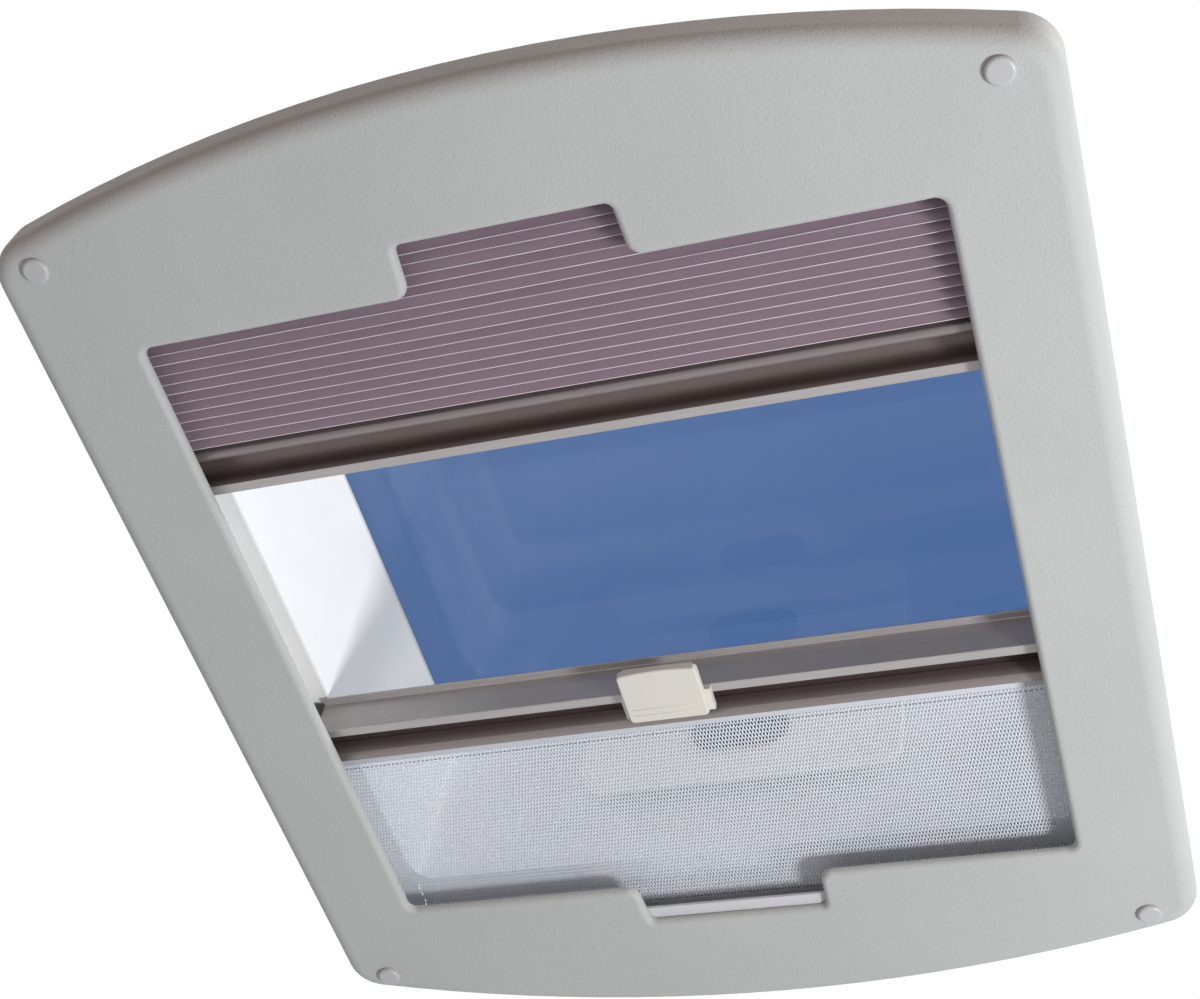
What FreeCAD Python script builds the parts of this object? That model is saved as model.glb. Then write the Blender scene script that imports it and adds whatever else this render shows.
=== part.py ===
import FreeCAD, Part
import math
import os

from FreeCAD import Vector

# Camper roof hatch for a 400 mm roof opening. Millimetres, +Z up, the floor at z = 0 under the screw caps.
# +X runs along the pull bars. The blackout blind is stored on the -Y side and the flyscreen on the +Y side.

# Driving dimensions: light shaft, made for a 400 mm roof opening
SHAFT_WIDTH = 372.0
SHAFT_LENGTH = 380.0
SHAFT_CORNER_R = 14.0
SHAFT_WALL = 4.0
SHAFT_TOP = 150.0
ROOF_THICKNESS = 35.0

# Driving dimensions: inner trim
OPENING_INSET_X = 8.0
OPENING_INSET_Y = 10.0
TRIM_SIDE_BAND = 53.0
TRIM_END_BAND = 90.0
TRIM_BOW = 34.0
TRIM_DEPTH = 22.0
TRIM_SKIN = 3.0
TRIM_CORNER_R = 20.0
TRIM_EDGE_R = 9.0
OPENING_CORNER_R = 5.0
OPENING_LIP = 4.0
OPENING_EDGE_R = 3.3
NOTCH_MOUTH = 98.0
NOTCH_BASE = 95.0
NOTCH_DEPTH = 25.0
NOTCH_MOUTH_R = 7.0
NOTCH_BASE_R = 3.5
RIB_THICKNESS = 2.0
RIB_BELOW_EDGE = 4.0
RIB_GAP = 1.0
SIDE_RIBS = 5
END_RIBS = 4

# Driving dimensions: screws that hold the trim to the roof, and their caps
SCREW_INSET_X = 24.0
SCREW_INSET_Y = 42.5
SCREW_R = 2.4
SCREW_HEAD_R = 4.6
SCREW_HEAD_HEIGHT = 3.0
SCREW_CLEARANCE = 0.2
SCREW_BOSS_R = 7.0
SCREW_LENGTH = 50.0
SCREW_TIP = 8.0
SCREW_POINT_R = 0.3
CAP_R = 6.1
CAP_HEIGHT = 2.5
CAP_ROUND = 1.6

# Driving dimensions: roof frame
FLANGE_BEYOND_SHAFT_X = 34.0
FLANGE_BEYOND_SHAFT_Y = 24.0
FLANGE_THICKNESS = 4.0
FLANGE_CORNER_R = 36.0
RIM_OVERHANG = 3.0
RIM_THICKNESS = 5.0

# Driving dimensions: guide rails
RAIL_WALL = 2.0
RAIL_BEYOND_SHAFT = 8.0
RAIL_FLANGE = 12.0
SLIDE_FIT = 0.4

# Driving dimensions: pull bars
BAR_WIDTH = 23.0
BAR_HEIGHT = 22.0
BAR_TO_TRIM = 5.0
BAR_NEAR_LIP = 4.0
BAR_GROOVE = 12.5
BAR_GROOVE_DEPTH = 13.0
BAR_WALL = 2.0
BAR_LIP_R = 1.4
BAR_GROOVE_R = 4.5
BLACKOUT_BAR_Y = -118.0
SCREEN_BAR_Y = 54.5
SLIDER_LENGTH = 26.0
SLIDER_THICKNESS = 7.0
SLIDER_CORNER_R = 3.0

# Driving dimensions: blackout blind
CASSETTE_LENGTH = 23.0
CASSETTE_TO_TRIM = 4.0
CASSETTE_WALL = 1.5
PLEAT_COUNT = 22
PLEAT_DEPTH = 10.8
PLEAT_THICKNESS = 0.5
FABRIC_MARGIN = 2.0
SOFT_GAP = 0.3

# Driving dimensions: flyscreen
ROLLER_R = 5.5
ROLLER_PIN_R = 2.0
ROLLER_TO_BACK = 10.0
END_PLATE = 3.0
TONGUE_REACH = 11.0
TONGUE_OVERLAP = 3.0
HEM_WIDTH = 8.0
HEM_THICKNESS = 2.0
MESH_THICKNESS = 0.5
MESH_RISE = 7.5

# Driving dimensions: catch on the flyscreen bar
CATCH_WIDTH = 40.0
CATCH_REACH = 18.0
CATCH_LENGTH = 31.0
CATCH_THICKNESS = 4.0
CATCH_GAP = 3.5
CATCH_CORNER_R = 2.5
CATCH_BOW = 1.5
CATCH_EDGE_R = 1.0
CATCH_FOOT_WIDTH = 45.0
CATCH_HOOK = 2.0

# Driving dimensions: lid
SEAL_WIDTH = 6.0
SEAL_HEIGHT = 5.0
SEAL_R = 2.0
LID_GAP = 0.3
PANE_THICKNESS = 3.0
LID_OVERHANG = 2.0
LID_RIM = 10.0
LID_CORNER_R = 30.0
DOME_CORNER_R = 44.0
DOME_HEIGHT = 36.0
DOME_EDGE_R = 30.0

# Driving dimensions: lid handle and lock
HANDLE_WIDTH = 182.0
HANDLE_DROP = 76.0
HANDLE_THICKNESS = 8.0
HANDLE_TO_WALL = 10.0
HANDLE_FLANGE = 20.0
HANDLE_CORNER_R = 12.0
LOCK_WIDTH = 55.0
LOCK_HEIGHT = 28.0
LOCK_DROP = 44.0
LOCK_PROUD = 3.0
LOCK_FIT = 0.3

# Driving dimensions: hinges
HINGE_SPACING = 170.0
HINGE_WIDTH = 54.0
HINGE_PLATE = 2.5
HINGE_KNUCKLE_R = 4.5
HINGE_PIN_R = 2.0
HINGE_FIT = 0.08
HINGE_OFFSET = 6.0
HINGE_WALL_PLATE = 34.0
HINGE_SIDE_GAP = 0.5

# Heights that follow from the driving dimensions
FACE_Z = CAP_HEIGHT
SKIN_Z = FACE_Z + TRIM_SKIN
LIP_Z = FACE_Z + OPENING_LIP
CEILING_Z = FACE_Z + TRIM_DEPTH
FLANGE_Z = CEILING_Z + ROOF_THICKNESS
BAR_Z = LIP_Z + BAR_TO_TRIM
BAR_TOP_Z = BAR_Z + BAR_HEIGHT
SLIDER_Z = BAR_Z - SLIDE_FIT
SLIDER_TOP_Z = BAR_TOP_Z + SLIDE_FIT
RAIL_TOP_Z = SLIDER_TOP_Z + SLIDE_FIT + RAIL_WALL
SHAFT_BOTTOM_Z = RAIL_TOP_Z
SEAL_TOP_Z = SHAFT_TOP + SEAL_HEIGHT
PANE_Z = SEAL_TOP_Z + LID_GAP
DOME_Z = PANE_Z + PANE_THICKNESS
RIM_TOP_Z = DOME_Z + PANE_THICKNESS
MESH_Z = BAR_Z + MESH_RISE

# Places that follow from the driving dimensions
OPENING_WIDTH = SHAFT_WIDTH - 2 * OPENING_INSET_X
OPENING_LENGTH = SHAFT_LENGTH - 2 * OPENING_INSET_Y
TRIM_WIDTH = OPENING_WIDTH + 2 * TRIM_SIDE_BAND
TRIM_LENGTH = OPENING_LENGTH + 2 * TRIM_END_BAND
SCREW_SPACING_X = TRIM_WIDTH - 2 * SCREW_INSET_X
SCREW_SPACING_Y = TRIM_LENGTH - 2 * SCREW_INSET_Y
FLANGE_WIDTH = SHAFT_WIDTH + 2 * (SHAFT_WALL + FLANGE_BEYOND_SHAFT_X)
FLANGE_LENGTH = SHAFT_LENGTH + 2 * (SHAFT_WALL + FLANGE_BEYOND_SHAFT_Y)
CASSETTE_BACK = TRIM_LENGTH / 2 - TRIM_BOW - CASSETTE_TO_TRIM
RAIL_OUTER_HALF = SHAFT_WIDTH / 2 + SHAFT_WALL + RAIL_BEYOND_SHAFT
SLIDER_HALF = RAIL_OUTER_HALF - RAIL_WALL - SLIDE_FIT
BAR_HALF = SLIDER_HALF - SLIDER_THICKNESS
FABRIC_HALF = BAR_HALF - FABRIC_MARGIN
RIM_HALF_X = SHAFT_WIDTH / 2 + SHAFT_WALL + RIM_OVERHANG
RIM_HALF_Y = SHAFT_LENGTH / 2 + SHAFT_WALL + RIM_OVERHANG
LID_HALF_X = RIM_HALF_X + LID_OVERHANG
LID_HALF_Y = RIM_HALF_Y + LID_OVERHANG
HINGE_Y = -LID_HALF_Y - HINGE_OFFSET
HINGE_Z = DOME_Z

os.makedirs("parts", exist_ok=True)


def save(shape, name):
    """Writes one named piece."""
    shape.exportStep("parts/" + name + ".step")


def rounded_wire(corners, place):
    """A closed wire through corners (u, v, radius), with tangent arcs at corners that have a radius."""
    count = len(corners)
    ends = []
    for i, (u, v, radius) in enumerate(corners):
        here = Vector(u, v, 0)
        before = Vector(corners[i - 1][0], corners[i - 1][1], 0) - here
        after = Vector(corners[(i + 1) % count][0], corners[(i + 1) % count][1], 0) - here
        before.normalize()
        after.normalize()
        if radius == 0:
            ends.append((here, None, here))
            continue
        half_angle = before.getAngle(after) / 2
        run = radius / math.tan(half_angle)
        middle = before + after
        middle.normalize()
        crown = here + middle * (radius / math.sin(half_angle) - radius)
        ends.append((here + before * run, crown, here + after * run))
    edges = []
    for i, (start, crown, finish) in enumerate(ends):
        if crown is not None:
            edges.append(Part.Arc(place(start), place(crown), place(finish)).toShape())
        following = ends[(i + 1) % count][0]
        if (following - finish).Length > 1e-6:
            edges.append(Part.makeLine(place(finish), place(following)))
    return Part.Wire(edges)


def level(z):
    """Places a flat outline at one height."""
    return lambda p: Vector(p.x, p.y, z)


def across(x):
    """Places a profile drawn in y and z at one x."""
    return lambda p: Vector(x, p.x, p.y)


def prism(corners, z_low, z_high):
    """An outline in x and y, raised from one height to another."""
    return Part.Face(rounded_wire(corners, level(z_low))).extrude(Vector(0, 0, z_high - z_low))


def extrusion(corners, x_low, x_high):
    """A profile in y and z, run along X."""
    return Part.Face(rounded_wire(corners, across(x_low))).extrude(Vector(x_high - x_low, 0, 0))


def rectangle(half_u, half_v, radius, u=0.0, v=0.0):
    """Corners of a rounded rectangle about a centre."""
    return [
        (u - half_u, v - half_v, radius),
        (u + half_u, v - half_v, radius),
        (u + half_u, v + half_v, radius),
        (u - half_u, v + half_v, radius),
    ]


def block(x_low, x_high, y_low, y_high, z_low, z_high):
    """A plain block between two corners."""
    return Part.makeBox(x_high - x_low, y_high - y_low, z_high - z_low, Vector(x_low, y_low, z_low))


def post(radius, x, y, z_low, z_high):
    """An upright cylinder."""
    return Part.makeCylinder(radius, z_high - z_low, Vector(x, y, z_low))


def rod(radius, x_low, x_high, y, z):
    """A cylinder along X."""
    return Part.makeCylinder(radius, x_high - x_low, Vector(x_low, y, z), Vector(1, 0, 0))


def flat_edges(shape, z):
    """Edges that lie at one height all along."""
    return [e for e in shape.Edges if abs(e.BoundBox.ZMin - z) < 1e-4 and abs(e.BoundBox.ZMax - z) < 1e-4]


def mirrored(shape, normal):
    """A copy mirrored through the hatch's middle plane."""
    return shape.mirror(Vector(0, 0, 0), normal)


def screw_places():
    """Centres of the trim's four screws, with names for them."""
    for side, x in (("left", -SCREW_SPACING_X / 2), ("right", SCREW_SPACING_X / 2)):
        for end, y in (("near", -SCREW_SPACING_Y / 2), ("far", SCREW_SPACING_Y / 2)):
            yield end + "_" + side, x, y


def bowed_block(inset, z_low, z_high):
    """The trim's plan outline, straight sided with bowed ends, raised between two heights."""
    half_width = TRIM_WIDTH / 2 - inset
    crown = TRIM_LENGTH / 2 - inset
    shoulder = crown - TRIM_BOW * (half_width / (TRIM_WIDTH / 2)) ** 2
    place = level(z_low)
    near = Part.Arc(
        place(Vector(-half_width, -shoulder)), place(Vector(0, -crown)), place(Vector(half_width, -shoulder))
    ).toShape()
    far = Part.Arc(
        place(Vector(half_width, shoulder)), place(Vector(0, crown)), place(Vector(-half_width, shoulder))
    ).toShape()
    right = Part.makeLine(place(Vector(half_width, -shoulder)), place(Vector(half_width, shoulder)))
    left = Part.makeLine(place(Vector(-half_width, shoulder)), place(Vector(-half_width, -shoulder)))
    solid = Part.Face(Part.Wire([near, right, far, left])).extrude(Vector(0, 0, z_high - z_low))
    upright = [e for e in solid.Edges if e.BoundBox.ZLength > (z_high - z_low) / 2]
    return solid.makeFillet(TRIM_CORNER_R - inset, upright)


def opening_corners(grow):
    """The light opening with a finger notch in the middle of its near and far sides."""
    half_x = OPENING_WIDTH / 2 + grow
    half_y = OPENING_LENGTH / 2 + grow
    base_y = half_y + NOTCH_DEPTH
    mouth = NOTCH_MOUTH / 2 + grow
    base = NOTCH_BASE / 2 + grow
    mouth_r = NOTCH_MOUTH_R - grow
    far = [
        (half_x, half_y, OPENING_CORNER_R + grow),
        (mouth, half_y, mouth_r),
        (base, base_y, NOTCH_BASE_R + grow),
        (-base, base_y, NOTCH_BASE_R + grow),
        (-mouth, half_y, mouth_r),
        (-half_x, half_y, OPENING_CORNER_R + grow),
    ]
    near = [(-x, -y, radius) for x, y, radius in far]
    return far + near


def trim_ribs():
    """Stiffening ribs behind the trim: beside the rails and behind the cassettes, trimmed to its inside."""
    top = CEILING_Z - RIB_BELOW_EDGE
    low = SKIN_Z - TRIM_SKIN / 2
    half_rib = RIB_THICKNESS / 2
    side_start = RAIL_OUTER_HALF + RIB_GAP
    end_start = CASSETTE_BACK + RIB_GAP
    side_pitch = OPENING_LENGTH / SIDE_RIBS
    end_pitch = OPENING_WIDTH / END_RIBS
    ribs = []
    for i in range(SIDE_RIBS):
        y = side_pitch * (i - (SIDE_RIBS - 1) / 2)
        for x_low, x_high in ((side_start, TRIM_WIDTH / 2), (-TRIM_WIDTH / 2, -side_start)):
            ribs.append(block(x_low, x_high, y - half_rib, y + half_rib, low, top))
    for i in range(END_RIBS):
        x = end_pitch * (i - (END_RIBS - 1) / 2)
        for y_low, y_high in ((end_start, TRIM_LENGTH / 2), (-TRIM_LENGTH / 2, -end_start)):
            ribs.append(block(x - half_rib, x + half_rib, y_low, y_high, low, top))
    inside = bowed_block(TRIM_SKIN / 2, low, CEILING_Z)
    inside = inside.makeFillet(TRIM_EDGE_R - TRIM_SKIN / 2, flat_edges(inside, low))
    return [rib.common(inside) for rib in ribs]


def trim_frame():
    """The inner trim: a moulded tray with rolled edges, a notched opening and four screw bosses."""
    shell = bowed_block(0.0, FACE_Z, CEILING_Z)
    shell = shell.makeFillet(TRIM_EDGE_R, flat_edges(shell, FACE_Z))
    cavity = bowed_block(TRIM_SKIN, SKIN_Z, CEILING_Z)
    cavity = cavity.makeFillet(TRIM_EDGE_R - TRIM_SKIN, flat_edges(cavity, SKIN_Z))
    lip = prism(opening_corners(TRIM_SKIN), SKIN_Z, LIP_Z)
    shell = shell.cut(cavity.cut(lip)).fuse(trim_ribs())
    for _, x, y in screw_places():
        shell = shell.fuse(post(SCREW_BOSS_R, x, y, SKIN_Z - TRIM_SKIN / 2, CEILING_Z))
    for _, x, y in screw_places():
        shell = shell.cut(post(SCREW_R + SCREW_CLEARANCE, x, y, FACE_Z, CEILING_Z))
        shell = shell.cut(post(SCREW_HEAD_R + SCREW_CLEARANCE, x, y, FACE_Z, FACE_Z + SCREW_HEAD_HEIGHT))
    shell = shell.cut(prism(opening_corners(0.0), FACE_Z, LIP_Z)).removeSplitter()
    half_x, half_y = OPENING_WIDTH / 2, OPENING_LENGTH / 2 + NOTCH_DEPTH
    rolled = [
        e
        for e in flat_edges(shell, FACE_Z)
        if max(abs(e.BoundBox.XMin), abs(e.BoundBox.XMax)) < half_x + 1e-3
        and max(abs(e.BoundBox.YMin), abs(e.BoundBox.YMax)) < half_y + 1e-3
    ]
    return shell.makeFillet(OPENING_EDGE_R, rolled)


def screw_cap(x, y):
    """A button cap with a flat crown and a round edge, flat where it sits on the trim."""
    flat, diagonal = CAP_R - CAP_ROUND, CAP_ROUND * math.sqrt(0.5)
    crown, shoulder = Vector(0, 0, 0), Vector(flat, 0, 0)
    mid = Vector(flat + diagonal, 0, CAP_ROUND - diagonal)
    rim, seat, centre = Vector(CAP_R, 0, CAP_ROUND), Vector(CAP_R, 0, CAP_HEIGHT), Vector(0, 0, CAP_HEIGHT)
    profile = Part.Wire(
        [
            Part.makeLine(crown, shoulder),
            Part.Arc(shoulder, mid, rim).toShape(),
            Part.makeLine(rim, seat),
            Part.makeLine(seat, centre),
            Part.makeLine(centre, crown),
        ]
    )
    cap = Part.Face(profile).revolve(Vector(0, 0, 0), Vector(0, 0, 1), 360)
    cap.translate(Vector(x, y, 0))
    return cap


def trim_screw(x, y):
    """A pointed screw whose sunk head pulls the trim up to the roof."""
    neck = FACE_Z + SCREW_HEAD_HEIGHT
    shoulder = FACE_Z + SCREW_LENGTH - SCREW_TIP
    head = post(SCREW_HEAD_R, x, y, FACE_Z, neck)
    shank = post(SCREW_R, x, y, neck, shoulder)
    tip = Part.makeCone(SCREW_R, SCREW_POINT_R, SCREW_TIP, Vector(x, y, shoulder))
    return head.fuse([shank, tip]).removeSplitter()


def roof_frame():
    """The outer frame: a shaft through the roof, a clamping flange and a turned-out rim under the seal."""
    half_x, half_y = SHAFT_WIDTH / 2, SHAFT_LENGTH / 2
    outer_r = SHAFT_CORNER_R + SHAFT_WALL
    shaft = prism(rectangle(half_x + SHAFT_WALL, half_y + SHAFT_WALL, outer_r), SHAFT_BOTTOM_Z, SHAFT_TOP)
    flange = prism(
        rectangle(FLANGE_WIDTH / 2, FLANGE_LENGTH / 2, FLANGE_CORNER_R), FLANGE_Z, FLANGE_Z + FLANGE_THICKNESS
    )
    flange = flange.makeFillet(FLANGE_THICKNESS / 2, flat_edges(flange, FLANGE_Z + FLANGE_THICKNESS))
    rim_outline = rectangle(RIM_HALF_X, RIM_HALF_Y, outer_r + RIM_OVERHANG)
    rim = prism(rim_outline, SHAFT_TOP - RIM_THICKNESS, SHAFT_TOP)
    frame = shaft.fuse([flange, rim])
    light = prism(rectangle(half_x, half_y, SHAFT_CORNER_R), SHAFT_BOTTOM_Z, SHAFT_TOP)
    frame = frame.cut(light)
    return frame.removeSplitter()


def guide_rail():
    """The right-hand rail: a channel open to the middle, on a foot that stands on the trim."""
    outer = RAIL_OUTER_HALF
    web = outer - RAIL_WALL
    tip = outer - RAIL_FLANGE
    shelf = SLIDER_Z - SLIDE_FIT
    top = RAIL_TOP_Z - RAIL_WALL
    corners = [
        (outer, SKIN_Z),
        (outer, RAIL_TOP_Z),
        (tip, RAIL_TOP_Z),
        (tip, top),
        (web, top),
        (web, shelf),
        (tip, shelf),
        (tip, shelf - RAIL_WALL),
        (web, shelf - RAIL_WALL),
        (web, SKIN_Z + RAIL_WALL),
        (tip, SKIN_Z + RAIL_WALL),
        (tip, SKIN_Z),
    ]
    reach = CASSETTE_BACK - CASSETTE_LENGTH - CASSETTE_WALL
    points = [Vector(x, -reach, z) for x, z in corners]
    return Part.Face(Part.makePolygon(points + points[:1])).extrude(Vector(0, 2 * reach, 0))


def cassette():
    """The near cassette: a channel across the hatch, open to the middle, with plates at its ends."""
    back = -CASSETTE_BACK
    mouth = back + CASSETTE_LENGTH
    top = CEILING_Z - SOFT_GAP
    corners = [
        (back, SKIN_Z),
        (mouth, SKIN_Z),
        (mouth, SKIN_Z + CASSETTE_WALL),
        (back + CASSETTE_WALL, SKIN_Z + CASSETTE_WALL),
        (back + CASSETTE_WALL, top - CASSETTE_WALL),
        (mouth, top - CASSETTE_WALL),
        (mouth, top),
        (back, top),
    ]
    points = [Vector(-BAR_HALF, y, z) for y, z in corners]
    channel = Part.Face(Part.makePolygon(points + points[:1])).extrude(Vector(2 * BAR_HALF, 0, 0))
    for low, high in ((-BAR_HALF - END_PLATE, -BAR_HALF), (BAR_HALF, BAR_HALF + END_PLATE)):
        channel = channel.fuse(block(low, high, back, mouth, SKIN_Z, top))
    return channel.removeSplitter()


def roller_place():
    """Centre of the flyscreen roller in y and z, with the mesh leaving over its top."""
    return CASSETTE_BACK - CASSETTE_WALL - ROLLER_TO_BACK, MESH_Z - SOFT_GAP - ROLLER_R


def screen_cassette():
    """The far cassette, with bores for the roller's pins and a tongue below the mesh."""
    y, z = roller_place()
    bore = rod(ROLLER_PIN_R + SLIDE_FIT / 2, -BAR_HALF - END_PLATE, BAR_HALF + END_PLATE, y, z)
    mouth = CASSETTE_BACK - CASSETTE_LENGTH
    low = SKIN_Z + CASSETTE_WALL
    half = OPENING_WIDTH / 2
    tongue = block(
        -half, half, mouth - TONGUE_REACH, mouth + TONGUE_OVERLAP, low, low + CASSETTE_WALL
    )
    return mirrored(cassette(), Vector(0, 1, 0)).cut(bore).fuse(tongue).removeSplitter()


def screen_roller():
    """The flyscreen's roller with a pin at each end."""
    y, z = roller_place()
    tube_half = BAR_HALF - SLIDE_FIT
    tube = rod(ROLLER_R, -tube_half, tube_half, y, z)
    pins = rod(ROLLER_PIN_R, -BAR_HALF - END_PLATE, BAR_HALF + END_PLATE, y, z)
    return tube.fuse(pins)


def bar_corners(near):
    """The pull bars' section: two lips with a round finger groove between them, open downwards."""
    groove = near + BAR_NEAR_LIP
    groove_end = groove + BAR_GROOVE
    far = near + BAR_WIDTH
    roof = BAR_Z + BAR_GROOVE_DEPTH
    return [
        (near, BAR_Z, BAR_LIP_R),
        (groove, BAR_Z, BAR_LIP_R),
        (groove, roof, BAR_GROOVE_R),
        (groove_end, roof, BAR_GROOVE_R),
        (groove_end, BAR_Z, BAR_LIP_R),
        (far, BAR_Z, BAR_LIP_R),
        (far, BAR_TOP_Z, BAR_LIP_R),
        (near, BAR_TOP_Z, BAR_LIP_R),
    ]


def pull_bar(near):
    """An extruded pull bar, with a hollow chamber over the finger groove."""
    solid = extrusion(bar_corners(near), -BAR_HALF, BAR_HALF)
    chamber_z = BAR_Z + BAR_GROOVE_DEPTH + BAR_WALL
    chamber = block(
        -BAR_HALF, BAR_HALF, near + BAR_WALL, near + BAR_WIDTH - BAR_WALL, chamber_z, BAR_TOP_Z - BAR_WALL
    )
    return solid.cut(chamber)


def end_slider(near):
    """The right-hand slider that carries a bar's end in its rail."""
    middle = near + BAR_WIDTH / 2
    centre_z = (SLIDER_Z + SLIDER_TOP_Z) / 2
    shoe = rectangle(SLIDER_LENGTH / 2, (SLIDER_TOP_Z - SLIDER_Z) / 2, SLIDER_CORNER_R, middle, centre_z)
    return extrusion(shoe, BAR_HALF, SLIDER_HALF)


def blackout_pleats():
    """The pleated fabric at rest, one folded sheet from the cassette to the bar."""
    start = -CASSETTE_BACK + CASSETTE_WALL + SOFT_GAP
    half_pitch = (BLACKOUT_BAR_Y - SOFT_GAP - start) / (2 * PLEAT_COUNT)
    rise = PLEAT_THICKNESS * math.hypot(half_pitch, PLEAT_DEPTH) / half_pitch
    fold = PLEAT_DEPTH - rise
    folds = [(start + half_pitch * i, BAR_Z + fold * (i % 2)) for i in range(2 * PLEAT_COUNT + 1)]
    lower = [Vector(-FABRIC_HALF, y, z) for y, z in folds]
    upper = [Vector(-FABRIC_HALF, y, z + rise) for y, z in reversed(folds)]
    outline = Part.makePolygon(lower + upper + lower[:1])
    return Part.Face(outline).extrude(Vector(2 * FABRIC_HALF, 0, 0))


def screen_hem():
    """The stiff strip that holds the mesh to its bar."""
    start = SCREEN_BAR_Y + BAR_WIDTH
    middle = MESH_Z + MESH_THICKNESS / 2
    return block(
        -FABRIC_HALF,
        FABRIC_HALF,
        start,
        start + HEM_WIDTH,
        middle - HEM_THICKNESS / 2,
        middle + HEM_THICKNESS / 2,
    )


def screen_mesh():
    """The flat stretch of mesh from the roller's top to the hem."""
    start = SCREEN_BAR_Y + BAR_WIDTH + HEM_WIDTH
    return block(
        -FABRIC_HALF, FABRIC_HALF, start + SOFT_GAP, roller_place()[0], MESH_Z, MESH_Z + MESH_THICKNESS
    )


def screen_catch():
    """The catch: a plate on a foot under the flyscreen bar, with a hook that reaches under the other bar."""
    half = CATCH_WIDTH / 2
    near = SCREEN_BAR_Y - CATCH_REACH
    far = near + CATCH_LENGTH
    top = BAR_Z - CATCH_GAP
    place = level(top - CATCH_THICKNESS)
    shoulder = near + CATCH_BOW
    bowed = Part.Arc(
        place(Vector(-half, shoulder)), place(Vector(0, near)), place(Vector(half, shoulder))
    ).toShape()
    straight = Part.makePolygon(
        [place(Vector(*p)) for p in ((half, shoulder), (half, far), (-half, far), (-half, shoulder))]
    )
    plate = Part.Face(Part.Wire([bowed] + straight.Edges)).extrude(Vector(0, 0, CATCH_THICKNESS))
    upright = [e for e in plate.Edges if e.BoundBox.ZLength > CATCH_THICKNESS / 2]
    plate = plate.makeFillet(CATCH_CORNER_R, upright)
    plate = plate.makeFillet(CATCH_EDGE_R, flat_edges(plate, top - CATCH_THICKNESS))
    foot_half = CATCH_FOOT_WIDTH / 2
    foot = block(-foot_half, foot_half, SCREEN_BAR_Y, far, top, BAR_Z)
    hook_half = half - CATCH_CORNER_R
    hook = block(-hook_half, hook_half, shoulder, shoulder + CATCH_HOOK, top, top + CATCH_HOOK)
    return plate.fuse([foot, hook]).removeSplitter()


def lid_seal():
    """The rubber ring on the roof frame's rim."""
    margin = (SHAFT_WALL + RIM_OVERHANG - SEAL_WIDTH) / 2
    inner_x, inner_y = SHAFT_WIDTH / 2 + margin, SHAFT_LENGTH / 2 + margin
    inner_r = SHAFT_CORNER_R + margin
    ring = prism(
        rectangle(inner_x + SEAL_WIDTH, inner_y + SEAL_WIDTH, inner_r + SEAL_WIDTH), SHAFT_TOP, SEAL_TOP_Z
    ).cut(prism(rectangle(inner_x, inner_y, inner_r), SHAFT_TOP, SEAL_TOP_Z))
    return ring.makeFillet(SEAL_R, flat_edges(ring, SEAL_TOP_Z))


def inner_pane():
    """The flat inner pane of the double-glazed lid."""
    inset = PANE_THICKNESS + LID_GAP
    outline = rectangle(LID_HALF_X - inset, LID_HALF_Y - inset, LID_CORNER_R - inset)
    return prism(outline, PANE_Z, PANE_Z + PANE_THICKNESS)


def crown(inset, z_low, z_high):
    """A rounded block with a wide round edge on top."""
    margin = LID_RIM + inset
    outline = rectangle(LID_HALF_X - margin, LID_HALF_Y - margin, DOME_CORNER_R - inset)
    body = prism(outline, z_low, z_high)
    return body.makeFillet(DOME_EDGE_R - inset, flat_edges(body, z_high))


def dome_pane():
    """The domed outer pane, with a flat rim and an edge that wraps the inner pane."""
    top = RIM_TOP_Z + DOME_HEIGHT
    rim = prism(rectangle(LID_HALF_X, LID_HALF_Y, LID_CORNER_R), PANE_Z, RIM_TOP_Z)
    wall = PANE_THICKNESS
    inner_outline = rectangle(LID_HALF_X - wall, LID_HALF_Y - wall, LID_CORNER_R - wall)
    hollow = prism(inner_outline, PANE_Z, DOME_Z)
    shell = rim.cut(hollow).fuse(crown(0.0, DOME_Z, top))
    return shell.cut(crown(PANE_THICKNESS, DOME_Z, top - PANE_THICKNESS)).removeSplitter()


def handle_places():
    """The handle's front in y, and the lock's centre in z."""
    return SHAFT_LENGTH / 2 - HANDLE_TO_WALL - HANDLE_THICKNESS, PANE_Z - LOCK_DROP


def lid_handle():
    """The grip plate that hangs from the inner pane, with a flange under the pane and a seat for the lock."""
    front = handle_places()[0]
    half = HANDLE_WIDTH / 2
    bottom = PANE_Z - HANDLE_DROP
    corners = [
        (-half, bottom, HANDLE_CORNER_R),
        (half, bottom, HANDLE_CORNER_R),
        (half, PANE_Z, 0),
        (-half, PANE_Z, 0),
    ]
    outline = rounded_wire(corners, lambda p: Vector(p.x, front, p.y))
    plate = Part.Face(outline).extrude(Vector(0, HANDLE_THICKNESS, 0))
    flange = block(-half, half, front - HANDLE_FLANGE, front, PANE_Z - HANDLE_THICKNESS / 2, PANE_Z)
    seat = lock_outline(front, HANDLE_THICKNESS / 2, LOCK_FIT)
    return plate.fuse(flange).cut(seat).removeSplitter()


def lock_outline(y, thickness, grow):
    """The lock's long oval outline, raised along Y."""
    lock_z = handle_places()[1]
    radius = LOCK_HEIGHT / 2 - LOCK_FIT
    corners = rectangle(LOCK_WIDTH / 2 + grow, LOCK_HEIGHT / 2 + grow, radius + grow, 0.0, lock_z)
    return Part.Face(rounded_wire(corners, lambda p: Vector(p.x, y, p.y))).extrude(Vector(0, thickness, 0))


def lid_lock():
    """The dark oval lock in the handle."""
    front = handle_places()[0]
    return lock_outline(front - LOCK_PROUD, LOCK_PROUD + HANDLE_THICKNESS / 2, 0.0)


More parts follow.
